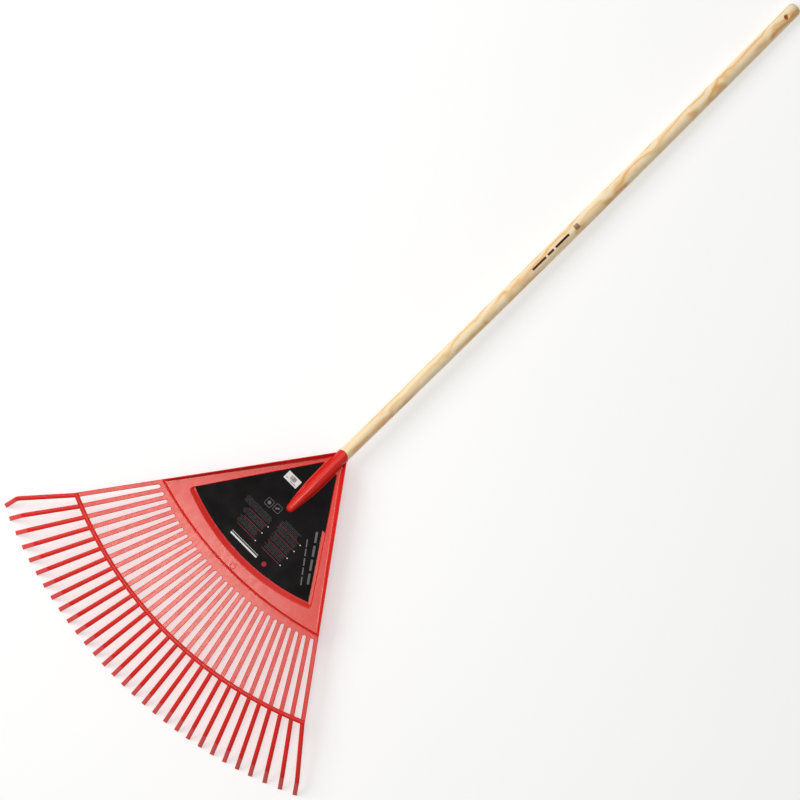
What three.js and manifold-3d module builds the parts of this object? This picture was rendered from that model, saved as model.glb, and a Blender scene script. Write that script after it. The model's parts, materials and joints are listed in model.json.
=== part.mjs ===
// A leaf rake: a fan-shaped plastic head with thirty spring tines, on a round wooden handle.
//
// Millimetres, +Z up. The rake lies on level ground with its label side up, touching the
// ground with its hooked tips and the far end of its handle. The handle points along +Y.
//
// Everything is laid out in the head's own frame first: the apex, where the centre lines of
// all the tines meet, is its origin, the tines fan out towards -Y, and z = 0 is the middle
// of the blade's thickness. The last lines tip the rake onto its tips and move the origin to
// the bottom centre of its bounding box.
//
// The head is one flexible moulding. It is divided where it bends: each inner pair of tines
// meets the blade at the rib line, and each outer tine meets the crossbar at its own hinge.

import * as THREE from 'three';
import { mergeVertices } from 'three/addons/utils/BufferGeometryUtils.js';
import Module from 'manifold-3d';

const wasm = await Module();
wasm.setup();

const radians = THREE.MathUtils.degToRad;

// ---- Driving dimensions ----------------------------------------------------------------

const GAP = 0.3; // between solids that touch on the real rake
const FLEX_GAP = 0.6; // where one solid hinges against another
const OVERLAP = 0.5; // by which solids run into each other where they are joined
const CUT_OVER = 0.01; // by which a cut runs out past a face

// The fan. An arc across it is centred on the head's axis, and is given by its distance
// from the apex along that axis and its radius.
const TINE_COUNT = 30;
const TINE_PITCH = radians(2.483);
const RIB_ARC = arcAcross(301.5, 700); // where the blade ends and the tines begin
const SLOT_ARC = arcAcross(319.6, 537); // the inner ends of the slots
const CROSSBAR_ARC = arcAcross(463, 733); // the crossbar's centre line
const TIP_ARC = arcAcross(589, 934); // the ends of the hooks

// Tines
const TINE_WIDTH = 8.4;
const TINE_TOP = -0.4;
const TINE_THICKNESS = 5; // as far as the crossbar
const TIP_THICKNESS = 3.6; // at the hooked end
const TINE_SLOPE = radians(6); // downward, outside the crossbar
const HOOK_REACH = 26; // horizontal length of the hook
const HOOK_SLOPE = radians(50); // of a middle hook; all of them end on the ground
const BEND_LEG = 5; // length of either leg that the hook's bend rounds off
const BEND_STEPS = 3;

// The outermost tines spread a little beyond the crossbar and their hooks toe in, in
// degrees from the outermost tine inwards.
const LEFT_SPREAD = [5.5, 2.3, 0.8];
const RIGHT_SPREAD = [3.9, 2.6, 1];
const LEFT_TOE_IN = [28, 5.8, 1];
const RIGHT_TOE_IN = [5.6, 1.5, 0];

// Crossbar
const BAR_WIDTH = 8.6;
const BAR_RIDGE_WIDTH = 3;
const BAR_RIDGE_HEIGHT = 1.4;
const BAR_STEPS = 36;

// Blade
const BLADE_THICKNESS = 3.2;
const BLADE_TOP = BLADE_THICKNESS / 2;
const RIB_SLOPE_WIDTH = 4; // the slope that steps down from the blade to the tines
const BLADE_START = -9; // hidden inside the socket
const ARC_STEPS = 28;

// The raised flange along each side of the blade
const FLANGE_START = 24; // distance from the apex along the edge
const FLANGE_TOP_WIDTH = 1.8;
const FLANGE_HEIGHTS = [13.5, 6]; // at the socket and at the rib line
const FLANGE_BASES = [9.5, 5.5];

// The recess that the label lies in: a fan with its own apex
const RECESS_APEX = -14;
const RECESS_HALF_ANGLE = radians(34);
const RECESS_START = -40;
const RECESS_ARC = arcAcross(279, 413);
const RECESS_DEPTH = 3;
const RECESS_WALL = 1.2;
const RECESS_SLOPE = 11; // width of the slope along the bottom arc

// Label and sticker
const LABEL_THICKNESS = 0.6;
const LABEL_CLEARANCE = 1; // to the recess's walls
const LABEL_FROM_SOCKET = 2.6; // outside the bead
const LABEL_JOG = -130; // below this its right-hand edge steps in
const LABEL_STEP = 6.4;
const STICKER_SIZE = [31, 16.7, 0.3];
const STICKER_CENTRE = [-34.2, -103.2];

// Socket: a tube that narrows from its mouth and tapers to a closed, round nose
const SOCKET_AXIS_HEIGHT = 3; // above the middle of the blade
const SOCKET_MOUTH = -4;
const SOCKET_MOUTH_RADIUS = 13.4;
const SOCKET_TAPER_START = -84;
const SOCKET_RADIUS = 12.4; // where the taper starts
const SOCKET_NOSE = -150;
const SOCKET_NOSE_RADIUS = 8;
const NOSE_STEPS = 4;
const SOCKET_SIDES = 32;

// The bead round the socket's foot, on the floor of the recess
const BEAD_WIDTH = 2.2;
const BEAD_HEIGHT = 1.1;

// Handle: nearly as thick as the socket outside it, and stepped down to a spigot inside it
const HANDLE_RADIUS = 13;
const HANDLE_NECK_RADIUS = 12.5; // at the socket's mouth
const HANDLE_NECK_LENGTH = 500; // over which it swells to its full radius
const HANDLE_END = 1157;
const HANDLE_DOME = 9;
const DOME_TURN = radians(76);
const SPIGOT_RADIUS = 11.5; // at the socket's mouth
const SPIGOT_TAPER_RADIUS = 9.4; // where the socket's taper starts
const SPIGOT_FOOT = -142;
const SPIGOT_FOOT_RADIUS = 5.5;
const HANDLE_BOW = 2.6; // sideways, at the middle of the free length
const HANDLE_LEAN = 2.7; // sideways, at the far end
const HANDLE_SIDES = 24;
const HANDLE_STATIONS = 12;
const HANG_HOLE_RADIUS = 4.75;
const HANG_HOLE_FROM_END = 28;
const HANG_HOLE_SIDES = 20;

// The self-tapping screw under the socket
const SCREW_PLACE = -40;
const SCREW_HEAD_RADIUS = 4.2;
const SCREW_HEAD_HEIGHT = 2.6;
const SCREW_HEAD_CHAMFER = 1.5;
const SCREW_RADIUS = 2;
const SCREW_LENGTH = 16;
const SCREW_POINT = 4;
const SCREW_SIDES = 16;

// ---- Materials --------------------------------------------------------------------------

const redPlastic = () => material(0xd9382f, 0.38, 0);
const wood = () => material(0xe6d3a6, 0.6, 0);
const steel = () => material(0xb4b6b8, 0.35, 1);
const blackCard = () => material(0x17161a, 0.5, 0);
const whitePaper = () => material(0xeceae6, 0.6, 0);

function material(color, roughness, metalness) {
  return new THREE.MeshStandardMaterial({ color, roughness, metalness });
}

// ---- Layout of the fan ------------------------------------------------------------------

/** An arc across the fan, crossing the axis at a distance from the apex. */
function arcAcross(distance, radius) {
  return { centre: radius - distance, radius };
}

/** How far from the apex a ray at an angle to the axis meets an arc. */
function reach(arc, angle) {
  const across = arc.centre * Math.sin(angle);
  return Math.sqrt(arc.radius ** 2 - across ** 2) - arc.centre * Math.cos(angle);
}

/** The direction of a ray from the apex; a positive angle leans to +X. */
function rayAt(angle) {
  return new THREE.Vector2(Math.sin(angle), -Math.cos(angle));
}

/** A point so far along a ray and so far to its +X side. */
function besideRay(angle, along, aside) {
  const ray = rayAt(angle);
  return new THREE.Vector2(
    ray.x * along + Math.cos(angle) * aside,
    ray.y * along + Math.sin(angle) * aside,
  );
}

/** The angle between a ray from the apex and an arc's normal where they meet. */
function lean(arc, angle) {
  const point = rayAt(angle).multiplyScalar(reach(arc, angle));
  return angle - Math.atan2(point.x, arc.centre - point.y);
}

/** A point on an arc beside a ray, or on a line that runs outside the arc by an offset. */
function arcPoint(arc, angle, aside, offset = 0) {
  const tilt = lean(arc, angle);
  const along = reach(arc, angle) + offset / Math.cos(tilt) + aside * Math.tan(tilt);
  return besideRay(angle, along, aside);
}

/** The angle of a tine's centre line, or between two tines for a half number. */
function tineAngle(index) {
  return (index - (TINE_COUNT - 1) / 2) * TINE_PITCH;
}

const EDGE_ANGLE = tineAngle(TINE_COUNT - 1);
const EDGE_ASIDE = TINE_WIDTH / 2;

/** The head's straight side edge, which is also the outer flank of the outermost tine. */
function sideEdge(side, along, inset = 0) {
  return besideRay(side * EDGE_ANGLE, along, side * (EDGE_ASIDE - inset));
}

/** Points along an arc from the left-hand side edge to the right-hand one. */
function arcPoints(arc, steps, inset = 0) {
  const points = [];
  for (let k = 0; k <= steps; k += 1) {
    const turn = -1 + (2 * k) / steps;
    points.push(arcPoint(arc, turn * EDGE_ANGLE, turn * EDGE_ASIDE, -inset));
  }
  return points;
}

// ---- Building closed solids -------------------------------------------------------------

/** Puts outline points at a height. */
function atHeight(points, z) {
  return points.map((p) => new THREE.Vector3(p.x, p.y, z));
}

/** A closed solid through a row of rings with equal numbers of corners. */
function loft(rings) {
  const count = rings[0].length;
  const positions = [];
  const indices = [];
  for (const ring of rings) {
    for (const corner of ring) positions.push(corner.x, corner.y, corner.z);
  }
  for (let r = 0; r + 1 < rings.length; r += 1) {
    for (let k = 0; k < count; k += 1) {
      const a = r * count + k;
      const b = r * count + ((k + 1) % count);
      indices.push(a, b, b + count, a, b + count, a + count);
    }
  }
  closeEnd(positions, indices, rings[0], 0, true);
  closeEnd(positions, indices, rings.at(-1), (rings.length - 1) * count, false);
  const geometry = new THREE.BufferGeometry();
  geometry.setAttribute('position', new THREE.Float32BufferAttribute(positions, 3));
  geometry.setIndex(indices);
  return facingOut(geometry);
}

/** Closes a loft's end with a fan of triangles round the ring's middle. */
function closeEnd(positions, indices, ring, first, reversed) {
  const middle = new THREE.Vector3();
  for (const corner of ring) middle.addScaledVector(corner, 1 / ring.length);
  const centre = positions.length / 3;
  positions.push(middle.x, middle.y, middle.z);
  for (let k = 0; k < ring.length; k += 1) {
    const a = first + k;
    const b = first + ((k + 1) % ring.length);
    indices.push(...(reversed ? [centre, b, a] : [centre, a, b]));
  }
}

/** Turns a closed geometry's triangles round if it is inside out. */
function facingOut(geometry) {
  const position = geometry.getAttribute('position');
  const index = geometry.getIndex();
  const corner = [0, 1, 2].map(() => new THREE.Vector3());
  let volume = 0;
  for (let t = 0; t < index.count; t += 3) {
    corner.forEach((c, k) => c.fromBufferAttribute(position, index.getX(t + k)));
    volume += corner[0].dot(corner[1].cross(corner[2]));
  }
  if (volume < 0) index.array.reverse();
  return geometry;
}

/** A flat plate of an outline, from one height to another. */
function plate(shape, low, high, curveSegments = 6) {
  const options = { depth: high - low, bevelEnabled: false, curveSegments };
  return new THREE.ExtrudeGeometry(shape, options).translate(0, 0, low);
}

/** A solid of revolution about the handle's axis, from [radius, y] pairs. */
function turned(profile, sides) {
  const points = profile.map(([radius, y]) => new THREE.Vector2(radius, y));
  return new THREE.LatheGeometry(points, sides).translate(0, 0, SOCKET_AXIS_HEIGHT);
}

/** A manifold-3d solid of a closed geometry. */
function solid(geometry) {
  const bare = new THREE.BufferGeometry();
  bare.setAttribute('position', geometry.getAttribute('position').clone());
  if (geometry.getIndex()) bare.setIndex(geometry.getIndex().clone());
  const merged = mergeVertices(bare, 1e-4);
  return new wasm.Manifold(
    new wasm.Mesh({
      numProp: 3,
      vertProperties: Float32Array.from(merged.getAttribute('position').array),
      triVerts: Uint32Array.from(merged.getIndex().array),
    }),
  );
}

/** The geometry of a manifold-3d solid. */
function geometryOf(body) {
  const mesh = body.getMesh();
  const geometry = new THREE.BufferGeometry();
  geometry.setAttribute('position', new THREE.BufferAttribute(mesh.vertProperties, 3));
  geometry.setIndex(new THREE.BufferAttribute(mesh.triVerts, 1));
  return geometry;
}

/** A named node of the rake. */
function node(name, geometry, looks) {
  geometry.computeVertexNormals();
  const mesh = new THREE.Mesh(geometry, looks);
  mesh.name = name;
  return mesh;
}

// ---- Socket, handle and screw -----------------------------------------------------------

/** The socket's outer profile from its nose to its mouth, enlarged by a clearance. */
function socketOuter(clearance = 0) {
  const nose = SOCKET_NOSE_RADIUS + clearance;
  const noseCentre = SOCKET_NOSE + SOCKET_NOSE_RADIUS;
  const profile = [[0, noseCentre - nose]];
  for (let k = 1; k <= NOSE_STEPS; k += 1) {
    const turn = (k / NOSE_STEPS) * (Math.PI / 2);
    profile.push([nose * Math.sin(turn), noseCentre - nose * Math.cos(turn)]);
  }
  profile.push([SOCKET_RADIUS + clearance, SOCKET_TAPER_START]);
  profile.push([SOCKET_MOUTH_RADIUS + clearance, SOCKET_MOUTH]);
  return profile;
}

/** The bore that the handle sits in, from its mouth to its blind end. */
function socketBore() {
  return [
    [SPIGOT_RADIUS + GAP, SOCKET_MOUTH],
    [SPIGOT_TAPER_RADIUS + GAP, SOCKET_TAPER_START],
    [SPIGOT_FOOT_RADIUS + GAP, SPIGOT_FOOT - GAP],
    [0, SPIGOT_FOOT - GAP],
  ];
}

/** The socket's outer radius between its mouth and its taper. */
function socketRadius(y) {
  const share = (y - SOCKET_TAPER_START) / (SOCKET_MOUTH - SOCKET_TAPER_START);
  return SOCKET_RADIUS + (SOCKET_MOUTH_RADIUS - SOCKET_RADIUS) * share;
}

/** The space in and around the socket that other pieces of the head keep clear of. */
function socketSpace(clearance) {
  const beyondMouth = 10;
  const outer = socketOuter(clearance);
  const widest = outer.at(-1)[0];
  return solid(turned([...outer, [widest, beyondMouth], [0, beyondMouth]], SOCKET_SIDES));
}

const SCREW_SEAT = SOCKET_AXIS_HEIGHT - socketRadius(SCREW_PLACE);
const SCREW_TOP = SCREW_SEAT + SCREW_LENGTH;

/** A round pin from below the screw's head up to a height. */
function screwPin(radius, top) {
  const bottom = SCREW_SEAT - SCREW_HEAD_HEIGHT;
  const pin = new THREE.CylinderGeometry(radius, radius, top - bottom, SCREW_SIDES);
  pin.rotateX(Math.PI / 2).translate(0, SCREW_PLACE, (top + bottom) / 2);
  return solid(pin);
}

function makeSocket() {
  const tube = solid(turned([...socketOuter(), ...socketBore()], SOCKET_SIDES));
  const drilled = tube.subtract(screwPin(SCREW_RADIUS + GAP, SOCKET_AXIS_HEIGHT));
  return node('socket', geometryOf(drilled), redPlastic());
}

function makeScrew() {
  const headTop = SCREW_SEAT - GAP;
  const headBottom = headTop - SCREW_HEAD_HEIGHT;
  const profile = [
    [0, headBottom],
    [SCREW_HEAD_RADIUS - SCREW_HEAD_CHAMFER, headBottom],
    [SCREW_HEAD_RADIUS, headBottom + SCREW_HEAD_CHAMFER],
    [SCREW_HEAD_RADIUS, headTop],
    [SCREW_RADIUS, headTop],
    [SCREW_RADIUS, SCREW_TOP - SCREW_POINT],
    [0, SCREW_TOP],
  ];
  const points = profile.map(([radius, z]) => new THREE.Vector2(radius, z));
  const screw = new THREE.LatheGeometry(points, SCREW_SIDES);
  screw.rotateX(Math.PI / 2).translate(0, SCREW_PLACE, 0);
  return node('socket_screw', geometryOf(solid(screw)), steel());
}

/** How far the handle's centre lies to the side at a place along it. */
function bowAt(y) {
  const share = Math.max(0, (y - SOCKET_MOUTH) / (HANDLE_END - SOCKET_MOUTH));
  return HANDLE_BOW * 4 * share * (1 - share) + HANDLE_LEAN * share;
}

/** The radius of the handle outside the socket. */
function handleRadius(y) {
  const share = THREE.MathUtils.clamp(y / HANDLE_NECK_LENGTH, 0, 1);
  return HANDLE_NECK_RADIUS + (HANDLE_RADIUS - HANDLE_NECK_RADIUS) * share;
}

function handleRing(radius, y) {
  const ring = [];
  for (let k = 0; k < HANDLE_SIDES; k += 1) {
    const turn = (2 * Math.PI * k) / HANDLE_SIDES;
    const x = bowAt(y) + radius * Math.cos(turn);
    ring.push(new THREE.Vector3(x, y, SOCKET_AXIS_HEIGHT + radius * Math.sin(turn)));
  }
  return ring;
}

function makeHandle() {
  const shoulder = SOCKET_MOUTH + GAP;
  const straightEnd = HANDLE_END - HANDLE_DOME;
  const rings = [
    handleRing(SPIGOT_FOOT_RADIUS, SPIGOT_FOOT),
    handleRing(SPIGOT_TAPER_RADIUS, SOCKET_TAPER_START),
    handleRing(SPIGOT_RADIUS, shoulder),
  ];
  for (let k = 0; k <= HANDLE_STATIONS; k += 1) {
    const y = shoulder + (straightEnd - shoulder) * (k / HANDLE_STATIONS);
    rings.push(handleRing(handleRadius(y), y));
  }
  for (const share of [0.5, 0.8, 1]) {
    const turn = share * DOME_TURN;
    const rise = Math.sin(turn) / Math.sin(DOME_TURN);
    rings.push(handleRing(HANDLE_RADIUS * Math.cos(turn), straightEnd + HANDLE_DOME * rise));
  }
  const holePlace = HANDLE_END - HANG_HOLE_FROM_END;
  const drill = new THREE.CylinderGeometry(
    HANG_HOLE_RADIUS,
    HANG_HOLE_RADIUS,
    3 * HANDLE_RADIUS,
    HANG_HOLE_SIDES,
  );
  drill.rotateX(Math.PI / 2).translate(bowAt(holePlace), holePlace, SOCKET_AXIS_HEIGHT);
  const bored = solid(loft(rings)).subtract(solid(drill));
  const screwed = bored.subtract(screwPin(SCREW_RADIUS + GAP, SCREW_TOP + GAP));
  return node('handle', geometryOf(screwed), wood());
}

// ---- Blade, label and sticker -----------------------------------------------------------

/** The blade's outline, drawn in from the rib line by an inset. */
function bladeRing(z, inset) {
  const start = (BLADE_START - sideEdge(1, 0).y) / rayAt(EDGE_ANGLE).y;
  const outline = [sideEdge(-1, start), ...arcPoints(RIB_ARC, ARC_STEPS, inset), sideEdge(1, start)];
  return atHeight(outline, z);
}

/** The flange along one side: a wall with an upright outside and a sloping inside. */
function flange(side) {
  const ends = [FLANGE_START, reach(RIB_ARC, EDGE_ANGLE)];
  const rings = ends.map((along, k) => {
    const foot = sideEdge(side, along);
    const inner = sideEdge(side, along, FLANGE_BASES[k]);
    const crest = sideEdge(side, along, FLANGE_TOP_WIDTH);
    const top = BLADE_TOP + FLANGE_HEIGHTS[k];
    return [
      ...atHeight([foot, inner], BLADE_TOP - OVERLAP),
      ...atHeight([crest, foot], top),
    ];
  });
  return solid(loft(rings));
}

/** The recess's outline, drawn in by a wall on the sides and a slope at the bottom. */
function recessOutline(wall, slope, arc = RECESS_ARC) {
  const apex = RECESS_APEX - wall / Math.sin(RECESS_HALF_ANGLE);
  const tangent = Math.tan(RECESS_HALF_ANGLE);
  const bottom = arc.centre - arc.radius + slope;
  const centre = bottom + arc.radius;
  const corner = lineMeetsCircle(apex, tangent, centre, arc.radius);
  const turn = Math.asin(corner.x / arc.radius);
  const outline = [];
  for (let k = 0; k <= ARC_STEPS; k += 1) {
    const angle = turn * (-1 + (2 * k) / ARC_STEPS);
    outline.push(new THREE.Vector2(arc.radius * Math.sin(angle), centre - arc.radius * Math.cos(angle)));
  }
  outline.unshift(new THREE.Vector2(-(apex - RECESS_START) * tangent, RECESS_START));
  outline.push(new THREE.Vector2((apex - RECESS_START) * tangent, RECESS_START));
  return outline;
}

/** Where a side of the recess, x = (apex - y) tangent, meets a circle centred on the axis. */
function lineMeetsCircle(apex, tangent, centre, radius) {
  const a = 1 + tangent ** 2;
  const b = -(centre + apex * tangent ** 2);
  const c = centre ** 2 + (apex * tangent) ** 2 - radius ** 2;
  const y = (-b - Math.sqrt(b * b - a * c)) / a;
  return new THREE.Vector2((apex - y) * tangent, y);
}

/** A tray-shaped block with the recess's slopes, from one height down to another. */
function tray(high, low) {
  return solid(
    loft([
      atHeight(recessOutline(0, 0), high),
      atHeight(recessOutline(RECESS_WALL, RECESS_SLOPE), low),
    ]),
  );
}

/** The bead round the socket's foot, inside the recess. */
function bead() {
  const floor = BLADE_TOP - RECESS_DEPTH;
  return socketSpace(BEAD_WIDTH).intersect(tray(floor + BEAD_HEIGHT, floor - BEAD_HEIGHT));
}

function makeBlade() {
  const sheet = solid(
    loft([
      bladeRing(-BLADE_TOP, 0),
      bladeRing(TINE_TOP, 0),
      bladeRing(BLADE_TOP, RIB_SLOPE_WIDTH),
    ]),
  );
  const backing = tray(OVERLAP - BLADE_TOP, -BLADE_TOP - RECESS_DEPTH);
  const recess = tray(BLADE_TOP + CUT_OVER, BLADE_TOP - RECESS_DEPTH);
  const body = sheet
    .add(backing)
    .subtract(recess)
    .add(flange(-1))
    .add(flange(1))
    .add(bead())
    .subtract(socketSpace(GAP));
  return node('blade', geometryOf(body), redPlastic());
}

/** The strip beside the label's right-hand edge that the label lacks below its jog. */
function labelStep() {
  const tangent = Math.tan(RECESS_HALF_ANGLE);
  const inset = (RECESS_WALL + LABEL_CLEARANCE) / Math.cos(RECESS_HALF_ANGLE);
  const low = RECESS_ARC.centre - RECESS_ARC.radius;
  const corners = [];
  for (const y of [LABEL_JOG, low]) {
    const edge = (RECESS_APEX - y) * tangent - inset;
    corners.push(new THREE.Vector2(edge - LABEL_STEP, y), new THREE.Vector2(edge + LABEL_STEP, y));
  }
  return new THREE.Shape([corners[0], corners[2], corners[3], corners[1]]);
}

const LABEL_FLOOR = BLADE_TOP - RECESS_DEPTH + GAP;

function makeLabel() {
  const inset = [RECESS_WALL + LABEL_CLEARANCE, RECESS_SLOPE + LABEL_CLEARANCE];
  const top = LABEL_FLOOR + LABEL_THICKNESS;
  const sheet = solid(plate(new THREE.Shape(recessOutline(...inset)), LABEL_FLOOR, top));
  const step = solid(plate(labelStep(), LABEL_FLOOR - OVERLAP, top + OVERLAP));
  const cut = sheet.subtract(step).subtract(socketSpace(LABEL_FROM_SOCKET));
  return node('label', geometryOf(cut), blackCard());
}

function makeSticker() {
  const [width, height, thickness] = STICKER_SIZE;
  const low = LABEL_FLOOR + LABEL_THICKNESS + GAP;
  const sticker = new THREE.BoxGeometry(width, height, thickness);
  sticker.translate(STICKER_CENTRE[0], STICKER_CENTRE[1], low + thickness / 2);
  return node('barcode_sticker', sticker, whitePaper());
}

// ---- Tines and crossbar -----------------------------------------------------------------

/** The centre of the rounded inner end of the slot beside a tine, and its radius. */
function slotEnd(angle) {
  const half = Math.sin(TINE_PITCH / 2);
  const inner = reach(SLOT_ARC, angle);
  const along = (inner - TINE_WIDTH / 2) / (1 - half);
  return { centre: rayAt(angle).multiplyScalar(along), radius: along * half - TINE_WIDTH / 2 };
}

/** Draws one half of a slot's round end, clockwise; side is 1 for the +X half. */
function halfSlotEnd(shape, angle, side, gap = 0) {
  const end = slotEnd(angle);
  const inward = Math.PI / 2 + angle - side * Math.asin(gap / end.radius);
  const flank = angle + Math.PI / 2 - side * (Math.PI / 2 - TINE_PITCH / 2);
  const [from, to] = side > 0 ? [inward, flank] : [flank, inward];
  shape.absarc(end.centre.x, end.centre.y, end.radius, from, to, true);
}

/** Where the strip of a pair of tines begins: on the rib line, halfway across a slot. */
function stripCorner(angle, side) {
  const atEdge = Math.abs(angle) > EDGE_ANGLE;
  if (atEdge) return arcPoint(RIB_ARC, -side * EDGE_ANGLE, -side * EDGE_ASIDE, FLEX_GAP);
  return arcPoint(RIB_ARC, angle, (side * GAP) / 2, FLEX_GAP);
}

/** Adds the end of an inner tine, just short of the crossbar, from its -X flank to its +X one. */
function addTineEnd(shape, angle) {
  for (const aside of [-TINE_WIDTH / 2, TINE_WIDTH / 2]) {
    const corner = arcPoint(CROSSBAR_ARC, angle, aside, -BAR_WIDTH / 2 - GAP);
    shape.lineTo(corner.x, corner.y);
  }
}

/** Two inner tines and the strip of the head that they spring from. */
function pairShape(first) {
  const left = tineAngle(first - 0.5);
  const between = tineAngle(first + 0.5);
  const right = tineAngle(first + 1.5);
  const start = stripCorner(left, 1);
  const finish = stripCorner(right, -1);
  const shape = new THREE.Shape();
  shape.moveTo(start.x, start.y);
  if (left > -EDGE_ANGLE) halfSlotEnd(shape, left, 1, GAP / 2);
  addTineEnd(shape, tineAngle(first));
  halfSlotEnd(shape, between, -1);
  halfSlotEnd(shape, between, 1);
  addTineEnd(shape, tineAngle(first + 1));
  if (right < EDGE_ANGLE) halfSlotEnd(shape, right, -1, GAP / 2);
  shape.lineTo(finish.x, finish.y);
  return shape;
}

function makePair(first) {
  const name = `tine_pair_${String(first / 2 + 1).padStart(2, '0')}`;
  const strip = plate(pairShape(first), TINE_TOP - TINE_THICKNESS, TINE_TOP, 3);
  return node(name, geometryOf(solid(strip)), redPlastic());
}

/** The crossbar: a band with a raised middle, following its arc across all the tines. */
function makeCrossbar() {
  const low = TINE_TOP - TINE_THICKNESS;
  const edge = BAR_WIDTH / 2;
  const ridge = BAR_RIDGE_WIDTH / 2;
  const profile = [
    [-edge, low],
    [edge, low],
    [edge, TINE_TOP],
    [ridge, TINE_TOP + BAR_RIDGE_HEIGHT],
    [-ridge, TINE_TOP + BAR_RIDGE_HEIGHT],
    [-edge, TINE_TOP],
  ];
  const rings = [];
  for (let k = 0; k <= BAR_STEPS; k += 1) {
    const turn = -1 + (2 * k) / BAR_STEPS;
    rings.push(
      profile.map(([out, z]) => {
        const point = arcPoint(CROSSBAR_ARC, turn * EDGE_ANGLE, turn * EDGE_ASIDE, out);
        return new THREE.Vector3(point.x, point.y, z);
      }),
    );
  }
  return node('crossbar', loft(rings), redPlastic());
}

/** The spread or toe-in of a tine, which only the outermost three on a side have. */
function edgeValue(index, left, right) {
  const fromRight = TINE_COUNT - 1 - index;
  if (index < left.length) return radians(left[index]);
  if (fromRight < right.length) return radians(right[fromRight]);
  return 0;
}

/** The centre line of an outer tine and its hook, from the crossbar to the tip. */
function tinePath(index) {
  const angle = tineAngle(index);
  const outward = Math.sign(angle);
  const spread = angle + outward * edgeValue(index, LEFT_SPREAD, RIGHT_SPREAD);
  const toed = spread - outward * edgeValue(index, LEFT_TOE_IN, RIGHT_TOE_IN);
  const root = arcPoint(CROSSBAR_ARC, angle, 0, BAR_WIDTH / 2 + FLEX_GAP);
  const shank = reach(TIP_ARC, angle) - root.length() - HOOK_REACH;
  const corner = root.clone().addScaledVector(rayAt(spread), shank);
  const tip = corner.clone().addScaledVector(rayAt(toed), HOOK_REACH);
  const rootZ = TINE_TOP - TINE_THICKNESS / 2;
  const tipRise = (TIP_THICKNESS / 2) * Math.cos(HOOK_SLOPE);
  return {
    angle,
    root: new THREE.Vector3(root.x, root.y, rootZ),
    corner: new THREE.Vector3(corner.x, corner.y, rootZ - shank * Math.tan(TINE_SLOPE)),
    tip: new THREE.Vector3(tip.x, tip.y, groundAt(tip.y) + tipRise),
  };
}

/** A tine's rectangular section, square to its path unless its end is cut at a slant. */
function tineSection(centre, direction, thickness, slant = 0) {
  const forward = new THREE.Vector3(direction.x, direction.y, 0).normalize();
  const side = new THREE.Vector3(-forward.y, forward.x, 0).addScaledVector(forward, slant);
  const up = new THREE.Vector3(0, 0, 1).addScaledVector(direction, -direction.z).normalize();
  const corners = [[-1, -1], [1, -1], [1, 1], [-1, 1]];
  return corners.map(([aside, high]) =>
    centre
      .clone()
      .addScaledVector(side, (aside * TINE_WIDTH) / 2)
      .addScaledVector(up, (high * thickness) / 2),
  );
}

function makeTip(index) {
  const { angle, root, corner, tip } = tinePath(index);
  const shank = corner.clone().sub(root).normalize();
  const hook = tip.clone().sub(corner).normalize();
  const bendStart = corner.clone().addScaledVector(shank, -BEND_LEG);
  const bendEnd = corner.clone().addScaledVector(hook, BEND_LEG);
  const bend = new THREE.QuadraticBezierCurve3(bendStart, corner, bendEnd);
  const ray = new THREE.Vector3(...rayAt(angle), 0);
  const sections = [tineSection(root, ray, TINE_THICKNESS, Math.tan(lean(CROSSBAR_ARC, angle)))];
  for (let k = 0; k <= BEND_STEPS; k += 1) {
    const share = k / BEND_STEPS;
    sections.push(tineSection(bend.getPoint(share), bend.getTangent(share), TIP_THICKNESS));
  }
  sections.push(tineSection(tip, hook, TIP_THICKNESS));
  const name = `tine_tip_${String(index + 1).padStart(2, '0')}`;
  return node(name, loft(sections), redPlastic());
}

// ---- The ground, and the finished rake --------------------------------------------------

// The ground touches the far end of the handle and the middle tips, which lie this far
// below the middle of the blade.
const TIP_DROP = 47;
const HANDLE_REST = HANDLE_END - HANDLE_DOME;
const HANDLE_UNDERSIDE = SOCKET_AXIS_HEIGHT - HANDLE_RADIUS;
const GROUND_SLOPE = (TIP_DROP + HANDLE_UNDERSIDE) / (HANDLE_REST + reach(TIP_ARC, 0));

/** The height of the ground in the head's frame. */
function groundAt(y) {
  return HANDLE_UNDERSIDE - (HANDLE_REST - y) * GROUND_SLOPE;
}

const head = new THREE.Group();
head.add(makeBlade(), makeSocket(), makeHandle(), makeScrew(), makeLabel(), makeSticker());
head.add(makeCrossbar());
for (let first = 0; first < TINE_COUNT; first += 2) head.add(makePair(first));
for (let index = 0; index < TINE_COUNT; index += 1) head.add(makeTip(index));
head.rotation.x = -Math.atan(GROUND_SLOPE);

const rake = new THREE.Group();
rake.add(head);
rake.updateMatrixWorld(true);
const box = new THREE.Box3().setFromObject(rake, true);
const middle = box.getCenter(new THREE.Vector3());
head.position.set(-middle.x, -middle.y, -box.min.z);

export default rake;
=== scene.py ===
# A leaf rake on a pale studio floor: a red plastic head with hooked spring tines, on a wooden handle.
#
# Lengths are in metres. Every piece is built in the head's own frame, which part.mjs lays the rake out
# in: the apex, where the centre lines of the tines meet, is the origin, the tines fan out towards -Y,
# and z = 0 is the middle of the blade's thickness. PLACE then carries the piece to the frame of the
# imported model.

import json
import math
import random

import bmesh
import bpy
from mathutils import Matrix, Vector


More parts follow.
